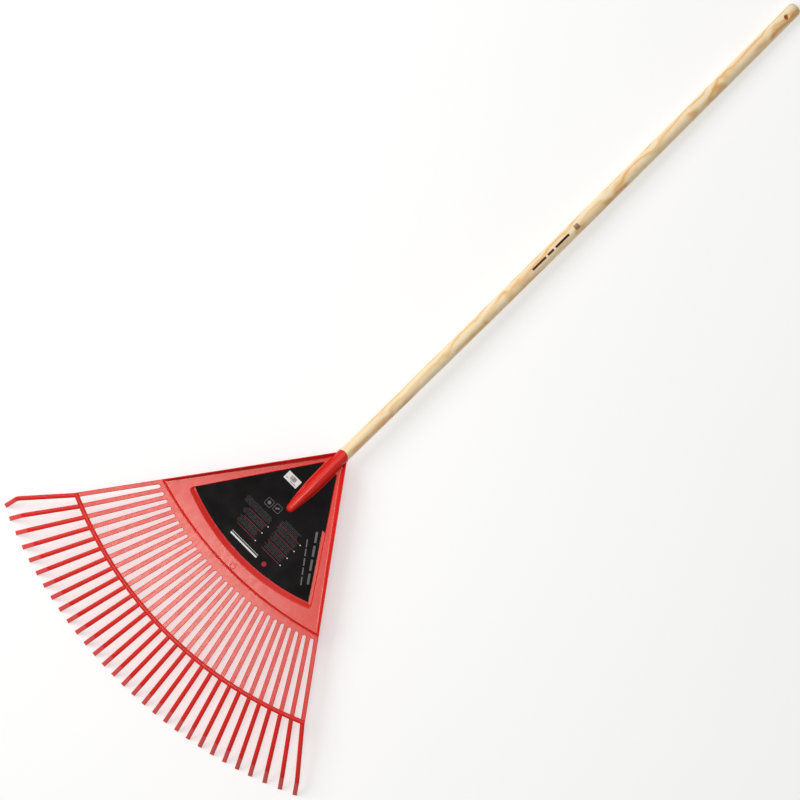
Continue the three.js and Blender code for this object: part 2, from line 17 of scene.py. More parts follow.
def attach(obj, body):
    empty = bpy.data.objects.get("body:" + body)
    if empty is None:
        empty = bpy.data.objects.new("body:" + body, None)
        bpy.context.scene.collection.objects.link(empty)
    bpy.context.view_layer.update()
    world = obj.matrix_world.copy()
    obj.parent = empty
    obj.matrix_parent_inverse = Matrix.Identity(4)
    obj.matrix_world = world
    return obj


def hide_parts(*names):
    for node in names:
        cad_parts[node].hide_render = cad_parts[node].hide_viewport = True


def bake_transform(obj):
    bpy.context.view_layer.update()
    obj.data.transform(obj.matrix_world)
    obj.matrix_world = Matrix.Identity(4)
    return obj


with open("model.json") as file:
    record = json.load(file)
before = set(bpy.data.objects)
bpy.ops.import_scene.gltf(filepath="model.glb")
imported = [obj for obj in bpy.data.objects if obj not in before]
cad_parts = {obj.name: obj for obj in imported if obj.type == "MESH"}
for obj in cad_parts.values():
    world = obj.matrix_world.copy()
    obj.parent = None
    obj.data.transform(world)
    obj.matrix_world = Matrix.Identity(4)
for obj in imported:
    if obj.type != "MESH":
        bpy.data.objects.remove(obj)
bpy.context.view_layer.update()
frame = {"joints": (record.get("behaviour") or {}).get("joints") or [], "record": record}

# ---- Sizes: those that the solids share are the same as in part.mjs ----

MM = 0.001
TINES = 30
PITCH = math.radians(2.483)
TINE_HALF = 4.2 * MM
TINE_TOP = -0.4 * MM
TINE_BOTTOM = -5.4 * MM
TIP_THICKNESS = 3.6 * MM
TINE_SLOPE = math.radians(6)
HOOK_REACH = 26 * MM
HOOK_SLOPE = math.radians(50)

# The outermost tines on each side splay from their rays, and their hooks toe in again, in degrees.
LEFT_SPREAD = (5.5, 2.3, 0.8)
RIGHT_SPREAD = (3.9, 2.6, 1.0)
LEFT_TOE_IN = (28, 5.8, 1.0)
RIGHT_TOE_IN = (5.6, 1.5, 0.0)

BLADE_TOP = 1.6 * MM
RECESS_DEPTH = 3 * MM
RECESS_SIDE = math.radians(34)
RECESS_APEX = -14 * MM
RECESS_START = -40 * MM
RECESS_CORNER = 9 * MM
RECESS_SLOPES = (1.6 * MM, 11 * MM)
FLANGE_HEIGHTS = (13.5 * MM, 6 * MM)
FLANGE_BASES = (9.5 * MM, 5.5 * MM)
FLANGE_WALL = 2.8 * MM
GROOVE = -1.4 * MM
COMB_HINGE = -299.5 * MM

AXIS_HEIGHT = 3 * MM
MOUTH_RADIUS = 13.4 * MM
SOCKET_RADIUS = 12.4 * MM
MOUTH = -4 * MM
TAPER_START = -84 * MM
NOSE = -150 * MM
NOSE_RADIUS = 8 * MM
HANDLE_RADIUS = 13 * MM
HANDLE_NECK = 12.5 * MM
HANDLE_END = 1157 * MM
HANDLE_BOW = 2.6 * MM
HANDLE_LEAN = 2.7 * MM
DOME_LENGTH = 9 * MM
HOLE_PLACE = HANDLE_END - 28 * MM
HOLE_RADIUS = 4.75 * MM
HOLE_LEAN = math.radians(19)
SCREW_PLACE = -40 * MM

EDGE_ANGLE = PITCH * (TINES - 1) / 2


# ---- The fan's layout ----

class Arc:
    """An arc across the fan, centred on the head's axis, so far from the apex and of such a radius."""

    def __init__(self, distance, radius):
        self.centre = radius - distance
        self.radius = radius

    def reach(self, angle):
        """How far from the apex a ray at an angle to the axis meets the arc."""
        across = self.centre * math.sin(angle)
        return math.sqrt(self.radius ** 2 - across ** 2) - self.centre * math.cos(angle)

    def lean(self, angle):
        """The angle between the ray and the arc's normal where they meet."""
        along = self.reach(angle)
        x, y = along * math.sin(angle), -along * math.cos(angle)
        return angle - math.atan2(x, self.centre - y)

    def point(self, angle, aside=0.0, offset=0.0):
        """A point on the arc beside a ray, or on a line that runs outside the arc by an offset."""
        tilt = self.lean(angle)
        along = self.reach(angle) + offset / math.cos(tilt) + aside * math.tan(tilt)
        return beside_ray(angle, along, aside)

    def height(self, x, y):
        """How far inside the arc a point lies, positive towards the apex."""
        return self.radius - math.hypot(x, y - self.centre)


RIB_REACH = 301.5 * MM
RECESS_REACH = 279 * MM
RIB = Arc(RIB_REACH, 700 * MM)
SLOTS = Arc(319.6 * MM, 537 * MM)
CROSSBAR = Arc(463 * MM, 733 * MM)
TIPS = Arc(589 * MM, 934 * MM)
RECESS = Arc(RECESS_REACH, 413 * MM)


def beside_ray(angle, along, aside=0.0):
    """A point so far along a ray from the apex and so far to its +X side."""
    x = math.sin(angle) * along + math.cos(angle) * aside
    y = -math.cos(angle) * along + math.sin(angle) * aside
    return x, y


def tine_angle(index):
    """The angle of a tine's ray to the axis, from the left-hand tine to the right-hand one."""
    return (index - (TINES - 1) / 2) * PITCH


def joint(name):
    """The frame's joint of a name."""
    return next(j for j in frame["joints"] if j["name"] == name)


def placement():
    """The transform from the head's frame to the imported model's, from its mount and its first joint."""
    mounts = frame["record"]["mounts"]
    normal = next(m for m in mounts if m["name"] == "blade_front_margin")["axis"]
    turn = Matrix.Rotation(-math.atan2(normal[1], normal[2]), 4, "X")
    hinge = Vector((0, COMB_HINGE, (TINE_TOP + TINE_BOTTOM) / 2))
    return Matrix.Translation(joint("comb_flex")["pos_m"]) @ turn @ Matrix.Translation(-hinge)


PLACE = placement()
BLADE_NORMAL = PLACE.to_3x3() @ Vector((0, 0, 1))


# ---- Making meshes ----

def add_object(name, data):
    made = bpy.data.objects.new(name, data)
    bpy.context.scene.collection.objects.link(made)
    return made


def add_mesh(name, points, faces, looks, slot, sharp=40):
    """A new object from points in the head's frame, smooth apart from edges sharper than an angle."""
    mesh = bpy.data.meshes.new(name)
    mesh.from_pydata([PLACE @ Vector(p) for p in points], [], faces)
    clean = bmesh.new()
    clean.from_mesh(mesh)
    bmesh.ops.remove_doubles(clean, verts=clean.verts, dist=1e-6)
    bmesh.ops.recalc_face_normals(clean, faces=clean.faces)
    clean.to_mesh(mesh)
    clean.free()
    mesh.shade_smooth()
    mesh.set_sharp_from_angle(angle=math.radians(sharp))
    mesh.materials.append(looks)
    piece = add_object(name, mesh)
    return piece


def loft(rings, closed_ends=True):
    """Points and faces of a surface through rings that have equal numbers of corners."""
    count = len(rings[0])
    points = [p for ring in rings for p in ring]
    faces = []
    for r in range(len(rings) - 1):
        for k in range(count):
            a, b = r * count + k, r * count + (k + 1) % count
            faces.append((a, b, b + count, a + count))
    if closed_ends:
        faces.append(tuple(range(count)))
        faces.append(tuple(range(len(points) - count, len(points))))
    return points, faces


def flat_ring(shape, z):
    """A flat shape's points at a height over the head's frame."""
    return [(x, y, z) for x, y in shape]


def together(solids):
    """The points and faces of several solids as those of one mesh."""
    points, faces = [], []
    for more, sides in solids:
        faces += [tuple(i + len(points) for i in face) for face in sides]
        points += more
    return points, faces


def disc(x, y, radius, sides=24):
    """A circle's corners, round a middle."""
    turns = spaced(0, 2 * math.pi, sides)[:-1]
    return [(x + radius * math.cos(turn), y + radius * math.sin(turn)) for turn in turns]


def bar(x, y, length, width, turn=0.0):
    """A rectangle with its middle at a place, turned by an angle."""
    cosine, sine = math.cos(turn), math.sin(turn)
    corners = []
    for end, side in ((-1, -1), (1, -1), (1, 1), (-1, 1)):
        along, across = end * length / 2, side * width / 2
        corners.append((x + cosine * along - sine * across, y + sine * along + cosine * across))
    return corners


def ramp(share, rounding=0.14):
    """A slope from 0 to 1 with both its ends rounded off."""
    share = min(max(share, 0.0), 1.0)
    steep = 1 / (1 - rounding)
    if share < rounding:
        return steep * share * share / (2 * rounding)
    if share > 1 - rounding:
        return 1 - steep * (1 - share) ** 2 / (2 * rounding)
    return steep * (share - rounding / 2)


def spaced(low, high, steps):
    """Evenly spaced values from one end to the other, both included."""
    return [low + (high - low) * k / steps for k in range(steps + 1)]


def between(ends, share):
    """The value at a share of the way from the first end to the second."""
    return ends[0] + (ends[1] - ends[0]) * share


# ---- Materials ----

class Looks:
    """A node material under construction: a Principled shader and helpers that add nodes to it."""

    def __init__(self, name, **sockets):
        self.material = bpy.data.materials.new(name)
        self.material.use_nodes = True
        self.tree = self.material.node_tree
        self.shader = self.tree.nodes["Principled BSDF"]
        for socket, value in sockets.items():
            self.shader.inputs[socket.replace("_", " ")].default_value = value

    def node(self, kind, **settings):
        made = self.tree.nodes.new(kind)
        for key, value in settings.items():
            setattr(made, key, value)
        return made

    def link(self, source, target):
        self.tree.links.new(source, target)

    def coordinates(self, scale=(1, 1, 1), turn=(0, 0, 0)):
        """The object's own coordinates, stretched and turned."""
        mapping = self.node("ShaderNodeMapping")
        mapping.inputs["Scale"].default_value = scale
        mapping.inputs["Rotation"].default_value = turn
        self.link(self.node("ShaderNodeTexCoord").outputs["Object"], mapping.inputs["Vector"])
        return mapping.outputs["Vector"]

    def noise(self, scale, detail=3.0, stretch=(1, 1, 1), roughness=0.5, distortion=0.0):
        made = self.node("ShaderNodeTexNoise")
        made.inputs["Scale"].default_value = scale
        made.inputs["Detail"].default_value = detail
        made.inputs["Roughness"].default_value = roughness
        made.inputs["Distortion"].default_value = distortion
        self.link(self.coordinates(stretch), made.inputs["Vector"])
        return made.outputs["Fac"]

    def ramp(self, source, *stops):
        made = self.node("ShaderNodeValToRGB")
        elements = made.color_ramp.elements
        while len(elements) < len(stops):
            elements.new(0.5)
        for element, (place, colour) in zip(elements, stops):
            element.position = place
            element.color = (*colour, 1)
        self.link(source, made.inputs["Fac"])
        return made.outputs["Color"]

    def spread(self, source, low, high):
        """A value from a noise, carried to the range from low to high."""
        made = self.node("ShaderNodeMapRange")
        made.inputs["From Min"].default_value = 0.3
        made.inputs["From Max"].default_value = 0.7
        made.inputs["To Min"].default_value = low
        made.inputs["To Max"].default_value = high
        self.link(source, made.inputs["Value"])
        return made.outputs["Result"]

    def maths(self, operation, *values):
        """The outcome of a maths node; each value comes from a node or is a plain number."""
        made = self.node("ShaderNodeMath", operation=operation)
        for socket, value in zip(made.inputs, values):
            if isinstance(value, (int, float)):
                socket.default_value = value
            else:
                self.link(value, socket)
        return made.outputs[0]

    def mix(self, kind, share, first, second):
        made = self.node("ShaderNodeMix", data_type="RGBA", blend_type=kind)
        for key, value in (("Factor", share), ("A", first), ("B", second)):
            socket = next(s for s in made.inputs if s.name == key and s.enabled)
            if isinstance(value, tuple):
                socket.default_value = (*value, 1)
            elif isinstance(value, float):
                socket.default_value = value
            else:
                self.link(value, socket)
        return next(s for s in made.outputs if s.enabled)

    def bump(self, height, strength, distance, after=None):
        made = self.node("ShaderNodeBump")
        made.inputs["Strength"].default_value = strength
        made.inputs["Distance"].default_value = distance
        self.link(height, made.inputs["Height"])
        if after is not None:
            self.link(after, made.inputs["Normal"])
        return made.outputs["Normal"]

    def set(self, socket, source):
        self.link(source, self.shader.inputs[socket])


def red_plastic():
    """Moulded polypropylene: even red with cloudy flow marks, fine scuffs and a slight orange peel."""
    looks = Looks("red_plastic", Roughness=0.2, IOR=1.49)
    clouds = looks.noise(9, 4, distortion=0.6)
    colour = looks.ramp(clouds, (0.3, (0.66, 0.013, 0.008)), (0.7, (0.72, 0.019, 0.011)))
    looks.set("Base Color", colour)
    scuffs = looks.noise(120, 5, stretch=(1, 0.35, 1), roughness=0.65)
    looks.set("Roughness", looks.spread(scuffs, 0.17, 0.25))
    peel = looks.bump(looks.noise(900, 2), 0.06, 0.0002)
    looks.set("Normal", looks.bump(looks.noise(26, 2), 0.12, 0.001, after=peel))
    return looks.material


def wood():
    """Pale softwood: a cream ground, golden figure from the growth rings, and fine fibres."""
    looks = Looks("handle_wood", Roughness=0.42, Coat_Weight=0.12, Coat_Roughness=0.3)
    half_rings_per_metre, sway, slant = 150, 5, math.radians(-3.8)
    cream, sand = (0.95, 0.80, 0.54), (0.93, 0.76, 0.48)
    amber, gold = (0.86, 0.58, 0.24), (0.76, 0.36, 0.09)
    across = looks.node("ShaderNodeSeparateXYZ")
    looks.link(looks.coordinates(turn=(0, 1.0, slant)), across.inputs["Vector"])
    wander = looks.noise(11, 2, stretch=(2.2, 1.3, 2.2), distortion=0.4)
    shift = looks.maths("MULTIPLY", wander, sway)
    place = looks.maths("MULTIPLY_ADD", across.outputs["X"], half_rings_per_metre, shift)
    rings = looks.maths("PINGPONG", place, 1.0)
    grain = looks.ramp(rings, (0.0, cream), (0.42, sand), (0.68, amber), (1.0, gold))
    strength = looks.spread(looks.noise(5, 1, stretch=(12, 1, 12)), 0.25, 1.0)
    figure = looks.mix("MIX", strength, cream, grain)
    fibre = looks.noise(520, 4, stretch=(1, 0.02, 1), roughness=0.7)
    fibres = looks.ramp(fibre, (0.35, (0.93, 0.90, 0.86)), (0.6, (1, 1, 1)))
    pink = looks.noise(14, 2, stretch=(2, 0.6, 2))
    blush = looks.ramp(pink, (0.38, (1, 1, 1)), (0.62, (1.0, 0.93, 0.90)))
    fibrous = looks.mix("MULTIPLY", 1.0, figure, fibres)
    looks.set("Base Color", looks.mix("MULTIPLY", 1.0, fibrous, blush))
    looks.set("Roughness", looks.spread(fibre, 0.36, 0.52))
    looks.set("Normal", looks.bump(fibre, 0.2, 0.0003))
    return looks.material


def card(name, dark, light, roughness, gloss=0.2):
    """A flat ink with faint clouding and a laminate's slight ripple, for the printed and laminated card,
    the sticker, the burnt mark and the painted shade on the hang hole's wall. On the black label the
    lighter clouds are a painted sheen.
    """
    looks = Looks(name, Roughness=roughness, Specular_IOR_Level=gloss)
    looks.set("Base Color", looks.ramp(looks.noise(7, 2), (0.35, dark), (0.7, light)))
    looks.set("Roughness", looks.spread(looks.noise(45, 3), roughness * 0.85, roughness * 1.15))
    looks.set("Normal", looks.bump(looks.noise(60, 2), 0.1, 0.0004))
    return looks.material


def steel():
    """Zinc-plated steel with fine turning marks."""
    looks = Looks("screw_steel", Metallic=1.0, Roughness=0.35)
    marks = looks.noise(1500, 3, stretch=(1, 1, 0.1))
    looks.set("Base Color", looks.ramp(marks, (0.3, (0.55, 0.56, 0.58)), (0.7, (0.70, 0.71, 0.72))))
    looks.set("Roughness", looks.spread(marks, 0.28, 0.45))
    looks.set("Normal", looks.bump(marks, 0.15, 0.0001))
    return looks.material


RED = red_plastic()
WOOD = wood()
# The hang hole's wall gets a darker orange-brown than the handle: painted shade inside the hole.
PAINTED_HOLE_SHADE = card("hole_wall_painted_shade", (0.85, 0.50, 0.20), (0.95, 0.62, 0.28), 0.7)
STEEL = steel()
# The black label's clouding is faint tone, and at its lighter end a painted sheen.
BLACK_CARD = card("label_black", (0.0015, 0.0014, 0.0016), (0.006, 0.005, 0.006), 0.34, gloss=0.06)
GREY_INK = card("ink_grey", (0.035, 0.034, 0.035), (0.05, 0.048, 0.05), 0.4)
RED_INK = card("ink_red", (0.30, 0.012, 0.03), (0.38, 0.016, 0.04), 0.4)
CLAIM_INK = card("ink_pale_grey", (0.11, 0.108, 0.11), (0.16, 0.157, 0.16), 0.4)
WHITE_INK = card("ink_white", (0.72, 0.72, 0.72), (0.80, 0.80, 0.80), 0.4)
PAPER = card("sticker_paper", (0.74, 0.72, 0.71), (0.82, 0.80, 0.79), 0.6)
BURNT_WOOD = card("burnt_wood", (0.022, 0.013, 0.009), (0.16, 0.055, 0.022), 0.8)


# ---- Blade ----

FLANGE_LENGTH = RIB.reach(EDGE_ANGLE)
COSINE = math.cos(EDGE_ANGLE)
TANGENT = math.tan(EDGE_ANGLE)


def edge_x(y, inset=0.0):
    """Where the blade's right-hand edge is at a height, drawn in by an inset."""
    return (TINE_HALF - inset) / COSINE - TANGENT * y


def recess_x(y):
    """Where the recess's right-hand wall is, carried on above the recess in step with the edge."""
    if y < RECESS_START:
        return math.tan(RECESS_SIDE) * (RECESS_APEX - y)
    share = math.tan(RECESS_SIDE) * (RECESS_APEX - RECESS_START) / edge_x(RECESS_START)
    return edge_x(y) * share


def flange_at(y):
    """The flange's height above the blade and the width of its foot, at a height on the head."""
    share = min(max(-y / COSINE / FLANGE_LENGTH, 0), 1)
    height = between(FLANGE_HEIGHTS, share)
    base = min(between(FLANGE_BASES, share), 0.3 * edge_x(y))
    to_rib = RIB.height(edge_x(y), y)
    fade_at_rib = ramp((to_rib - 4.5 * MM) / (7 * MM), 0.4)
    fade_at_mouth = 0.3 + 0.7 * ramp((-10 * MM - y) / (24 * MM), 0.4)
    return max(height * fade_at_rib * fade_at_mouth, 0.01 * MM), base


def flange_columns(y):
    """Insets from the edge and heights above the blade of the flange's upper side."""
    height, base = flange_at(y)
    rim = min(1.0 * MM, height * 0.3)
    crest = [(0.0, height - rim), (0.25 * MM, height - 0.3 * rim), (0.8 * MM, height)]
    crest += [(1.5 * MM, height - 0.1 * rim), (2.0 * MM, height - 0.6 * rim)]
    foot = [(between((2.0 * MM, base), share), (height - 0.6 * rim) * (1 - share) ** 2.4)
            for share in (0.14, 0.3, 0.48, 0.66, 0.84)]
    return crest + foot + [(base, 0.0), (base + 1.6 * MM, 0.0)]


def recess_share(x, y, grow=0.0):
    """How deep in the recess a place is, from 0 on the blade's face to 1 on the floor."""
    side = (recess_x(y) - abs(x)) * math.cos(RECESS_SIDE) + grow
    side = min(side, RECESS_START - y + grow)
    bottom = RECESS.height(x, y) + grow
    if side < RECESS_CORNER and bottom < RECESS_CORNER:
        inside = RECESS_CORNER - math.hypot(RECESS_CORNER - side, RECESS_CORNER - bottom)
        lean = math.atan2(RECESS_CORNER - bottom, RECESS_CORNER - side) / (math.pi / 2)
    else:
        inside = min(side, bottom)
        lean = 1.0 if bottom < side else 0.0
    return ramp(inside / between(RECESS_SLOPES, lean))


def blade_rows():
    """The rows of the blade's grid, from the socket to the rib, each a lowest height and a curvature.

    They lie closer together where the recess begins and ends and at the step to the rib line.
    """
    above_recess = (-9, -11, -14, -17, -20, -25, -30, -35, -38, -39.5, -40, -40.7, -41.5, -43)
    rows = [(y * MM, 0.0) for y in above_recess]
    for share in spaced(0, 1, 22)[:-1]:
        rows.append((between((-46 * MM, -258 * MM), share), share / RECESS.radius))
    for inside in (20, 18, 16, 14, 12.5, 11.5, 10.5, 9, 7.5, 6, 4.5, 3, 1.5, 0.6, 0, -1):
        rows.append((inside * MM - RECESS_REACH, 1 / (RECESS.radius - inside * MM)))
    for share in (0.15, 0.35, 0.55, 0.7):
        curvature = between((1 / RECESS.radius, 1 / RIB.radius), share)
        rows.append((between((-280 * MM, -300 * MM), share), curvature))
    for inside in (4.4, 3.8, 3.4, 3.0, 2.4, 1.6, 0.8, 0.3, 0.0):
        rows.append((inside * MM - RIB_REACH, 1 / (RIB.radius - inside * MM)))
    return rows


def row_height(row, x):
    """The height on the head of a row's straight or curved line, at a distance from the axis."""
    lowest, curvature = row
    return lowest if curvature == 0 else lowest + (1 - math.sqrt(1 - (curvature * x) ** 2)) / curvature


def flange_x(y, index):
    """Where a column of the flange is at a height."""
    return edge_x(y, flange_columns(y)[index][0])


def margin_x(y, share):
    """A place between the flange's foot and the recess."""
    return between((flange_x(y, -1), recess_x(y) + 0.2 * MM), share)


def wall_x(y, inset):
    """A place inside the recess, by an inset in millimetres, or by less where the head is narrow."""
    return recess_x(y) * (1 - min(inset * MM / recess_x(y), 0.1 * inset))


def crossing(row, column, value):
    """Where a row and a column cross, found by going back and forth between them."""
    x = 0.0
    for _ in range(14):
        x = column(row_height(row, x), value)
    return x, row_height(row, x)


def blade_columns(row):
    """Places across one row, from the right-hand edge to the middle: (x, y, height over the blade)."""
    columns = []
    for index in range(len(flange_columns(NOSE))):
        x, y = crossing(row, flange_x, index)
        columns.append((x, y, flange_columns(y)[index][1]))
    for share in (0.25, 0.5, 0.75, 0.92):
        columns.append((*crossing(row, margin_x, share), 0.0))
    for inset in (0.0, 0.3, 0.7, 1.1, 1.5, 2.0, 2.8, 3.8, 5.0, 6.4, 8.0, 10.0):
        columns.append((*crossing(row, wall_x, inset), 0.0))
    last = columns[-1][0]
    for share in (0.88, 0.74, 0.6, 0.45, 0.3, 0.15):
        columns.append((last * share, row_height(row, last * share), 0.0))
    return columns


def blade_top(x, y, raised):
    """The height of the blade's upper side, which steps down to a groove at the rib line."""
    step = ramp(1 - RIB.height(x, y) / (3.6 * MM), 0.12) * (BLADE_TOP - GROOVE)
    return BLADE_TOP + raised - step - RECESS_DEPTH * recess_share(x, y)


def blade_bottom(x, y, raised):
    """The height of the underside, which follows the recess and the inside of the curled flange."""
    lifted = max(raised - FLANGE_WALL, 0.0)
    return -BLADE_TOP + lifted - RECESS_DEPTH * recess_share(x, y, grow=1.4 * MM)


def make_blade():
    """The blade with its flanges and recess, cut away inside the socket."""
    rings = []
    for row in blade_rows():
        half = blade_columns(row)
        mirrored = [(-x, y, raised) for x, y, raised in half]
        line = mirrored + [(0.0, row_height(row, 0.0), 0.0)] + half[::-1]
        upper = [(x, y, blade_top(x, y, raised)) for x, y, raised in line]
        lower = [(x, y, blade_bottom(x, y, raised)) for x, y, raised in line]
        rings.append(upper + lower[::-1])
    blade = add_mesh("head_blade", *strip_faces(rings), RED, "red_plastic", sharp=50)
    plug = [socket_ring(y, socket_radius(y) - 0.5 * MM) for y in spaced(NOSE + 2 * MM, 0.0, 40)]
    cut_out(blade, add_mesh("plug", *loft(plug), RED, "red_plastic"), sharp=50)
    return blade


def cut_out(piece, cutter, sharp):
    """Takes a cutter out of a piece by a boolean that is applied at once, and removes the cutter."""
    modifier = piece.modifiers.new("cut", "BOOLEAN")
    modifier.object = cutter
    modifier.operation = "DIFFERENCE"
    modifier.solver = "EXACT"
    modifier.material_mode = "TRANSFER"
    bpy.context.view_layer.objects.active = piece
    bpy.ops.object.modifier_apply(modifier=modifier.name)
    piece.data.set_sharp_from_angle(angle=math.radians(sharp))
    bpy.data.objects.remove(cutter)


def strip_faces(rings):
    """A closed surface through flat rings, each an upper row and then the lower one backwards."""
    points, faces = loft(rings, closed_ends=False)
    count = len(rings[0])
    for first in (0, (len(rings) - 1) * count):
        for k in range(count // 2 - 1):
            faces.append((first + k, first + k + 1, first + count - 2 - k, first + count - 1 - k))
    return points, faces


# ---- Socket ----

def socket_radius(y):
    """The socket's outer radius: it narrows from the mouth, then tapers to a round nose."""
    nose_centre = NOSE + NOSE_RADIUS
    if y < nose_centre:
        return math.sqrt(max(NOSE_RADIUS ** 2 - (nose_centre - y) ** 2, 0))
    if y < TAPER_START:
        share = (TAPER_START - y) / (TAPER_START - nose_centre)
        return SOCKET_RADIUS - (SOCKET_RADIUS - NOSE_RADIUS) * share ** 1.15
    share = min((y - TAPER_START) / (MOUTH - TAPER_START), 1)
    return SOCKET_RADIUS + (MOUTH_RADIUS - SOCKET_RADIUS) * share


def mouth_shift(x):
    """The mouth's edge bulges towards the handle, most a little left of its middle."""
    return (5.0 - 6.9 * (x / MOUTH_RADIUS + 0.18) ** 2) * MM


def socket_ring(y, radius, sides=72, shift=0.0):
    """A ring round the handle's axis, moved along it by a share of the mouth's bulge."""
    ring = []
    for k in range(sides):
        turn = 2 * math.pi * (k + 0.5) / sides
        x, z = radius * math.cos(turn), radius * math.sin(turn)
        ring.append((x, y + shift * mouth_shift(x), AXIS_HEIGHT + z))
    return ring


def make_socket():
    """The socket: a round nose, the tapered outside, the curved mouth and the bore."""
    rings = []
    for turn in spaced(math.radians(3), math.radians(81), 9):
        y = NOSE + NOSE_RADIUS * (1 - math.cos(turn))
        rings.append(socket_ring(y, socket_radius(y)))
    for y in spaced(NOSE + NOSE_RADIUS, TAPER_START, 12) + spaced(TAPER_START, -20 * MM, 6)[1:]:
        rings.append(socket_ring(y, socket_radius(y)))
    for y in spaced(-18 * MM, -6 * MM, 8):
        rings.append(socket_ring(y, socket_radius(y), shift=(y + 20 * MM) / (20 * MM)))
    wall = 0.8 * MM
    for turn in spaced(0.0, math.pi, 8):
        radius = MOUTH_RADIUS - wall / 2 * (1 - math.cos(turn))
        rings.append(socket_ring(MOUTH - 0.5 * MM + 0.5 * MM * math.sin(turn), radius, shift=0.9))
    rings.append(socket_ring(-12 * MM, 11.6 * MM, shift=0.4))
    rings.append(socket_ring(-60 * MM, 10.6 * MM))
    return add_mesh("head_socket", *loft(rings), RED, "red_plastic", sharp=60)


def bead_width(y):
    """How far the bead at the foot of the socket spreads: less towards the nose."""
    return (1.3 + 1.7 * ramp((y - NOSE) / (60 * MM))) * MM


def foot_x(y):
    """Half the socket's width where it meets the recess's floor."""
    drop = AXIS_HEIGHT - (BLADE_TOP - RECESS_DEPTH)
    return math.sqrt(max(socket_radius(y) ** 2 - drop ** 2, 1e-9))


def foot_line(start, share):
    """A line round the socket's foot that starts at a height, further out by a share of the bead."""
    nose_centre = NOSE + NOSE_RADIUS
    side = [(foot_x(y) + share * bead_width(y), y) for y in spaced(start, nose_centre, 30)]
    radius = side[-1][0]
    nose = [(radius * math.cos(turn), nose_centre - radius * math.sin(turn))
            for turn in spaced(0, math.pi, 16)[1:-1]]
    return side + nose + [(-x, y) for x, y in side[::-1]]


def make_socket_foot():
    """The sloping bead that runs along the foot of the socket inside the recess."""
    floor = BLADE_TOP - RECESS_DEPTH
    section = [(-0.6, -0.6), (-0.6, 3.0), (0.0, 1.9), (0.3, 1.3)]
    section += [(0.55, 1.1), (0.88, 1.02), (1.0, 0.85), (1.0, -0.6)]
    lines = [foot_line(-40.4 * MM, share) for share, _ in section]
    rings = [[(*line[k], floor + height * MM) for line, (_, height) in zip(lines, section)]
             for k in range(len(lines[0]))]
    return add_mesh("head_socket_bead", *loft(rings), RED, "red_plastic", sharp=60)


# ---- Comb: the strip at the rib line and the inner tines ----

def slot_end(angle):
    """The middle of a slot's round inner end, as its distance from the apex and its radius."""
    half = math.sin(PITCH / 2)
    along = (SLOTS.reach(angle) - TINE_HALF) / (1 - half)
    return along, along * half - TINE_HALF


def comb_outline(inset, back):
    """The comb's outline, drawn in by an inset, with its inner edge a distance behind the rib line."""
    outline = [RIB.point(-EDGE_ANGLE, -TINE_HALF + inset, -back)]
    for index in range(TINES):
        angle = tine_angle(index)
        for aside in (-1, 1):
            outline.append(CROSSBAR.point(angle, aside * (TINE_HALF - inset), -inset))
        if index < TINES - 1:
            slot = angle + PITCH / 2
            along, radius = slot_end(slot)
            x, y = beside_ray(slot, along)
            for turn in spaced(math.pi - PITCH / 2, PITCH / 2, 8):
                outline.append((x + (radius + inset) * math.cos(slot + turn),
                                y + (radius + inset) * math.sin(slot + turn)))
    outline.append(RIB.point(EDGE_ANGLE, TINE_HALF - inset, -back))
    for angle in spaced(EDGE_ANGLE, -EDGE_ANGLE, 40)[1:-1]:
        outline.append(RIB.point(angle, 0.0, -back))
    return outline


# The comb's section: how far each level is drawn in, how far it reaches behind the rib line, and its
# height, from the underside by a ramp to a tongue inside the blade, and up to the rounded upper edge.
COMB_LEVELS = (
    (0.35, -2.0, -5.4),
    (0.0, -1.6, -5.05),
    (0.0, 8.0, -1.52),
    (0.0, 8.0, -1.48),
    (0.0, -0.25, -1.45),
    (0.0, -0.25, -1.4),
    (0.1, -0.35, -0.95),
    (0.4, -0.65, -0.56),
    (0.95, -1.2, -0.4),
)


def make_comb():
    """The comb, divided across its tines, with its level faces kept flat."""
    rings = [flat_ring(comb_outline(inset * MM, back * MM), z * MM) for inset, back, z in COMB_LEVELS]
    comb = add_mesh("head_comb", *loft(rings), RED, "red_plastic", sharp=50)
    cut = bmesh.new()
    cut.from_mesh(comb.data)
    for y in spaced(-275 * MM, -455 * MM, 20):
        place = PLACE @ Vector((0, y, 0))
        everything = list(cut.verts) + list(cut.edges) + list(cut.faces)
        bmesh.ops.bisect_plane(cut, geom=everything, plane_co=place, plane_no=(0, 1, 0))
    for edge in cut.edges:
        level = [abs(face.normal.dot(BLADE_NORMAL)) > 0.9999 for face in edge.link_faces]
        edge.smooth = edge.smooth and all(level) == any(level)
    cut.to_mesh(comb.data)
    cut.free()
    return comb


# ---- Crossbar ----

def make_crossbar():
    """The band across the tines, with a low ridge along its middle."""
    side = [(-4.1, -5.4), (-4.4, -5.0), (-4.4, -0.7), (-4.15, -0.2), (-3.5, 0.1)]
    side += [(-1.5, 0.75), (-0.75, 0.95)]
    profile = side + [(0.0, 1.0)] + [(-offset, z) for offset, z in side[::-1]]
    rings = []
    for share in spaced(-1, 1, 120):
        aside = share * (TINE_HALF - 0.5 * MM)
        ring = []
        for offset, z in profile:
            x, y = CROSSBAR.point(share * EDGE_ANGLE, aside, offset * MM)
            ring.append((x, y, z * MM))
        rings.append(ring)
    return add_mesh("head_crossbar", *loft(rings), RED, "red_plastic", sharp=50)


# ---- Outer tines with their hooks ----

def ground_at(y):
    """The height of the ground in the head's frame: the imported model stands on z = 0."""
    return -(PLACE @ Vector((0, y, 0))).z / BLADE_NORMAL.z


def edge_value(index, left, right):
    """A tine's angle from the list of its side, which starts at the outermost tine; zero further in."""
    if index < len(left):
        return math.radians(left[index])
    if TINES - 1 - index < len(right):
        return math.radians(right[TINES - 1 - index])
    return 0.0


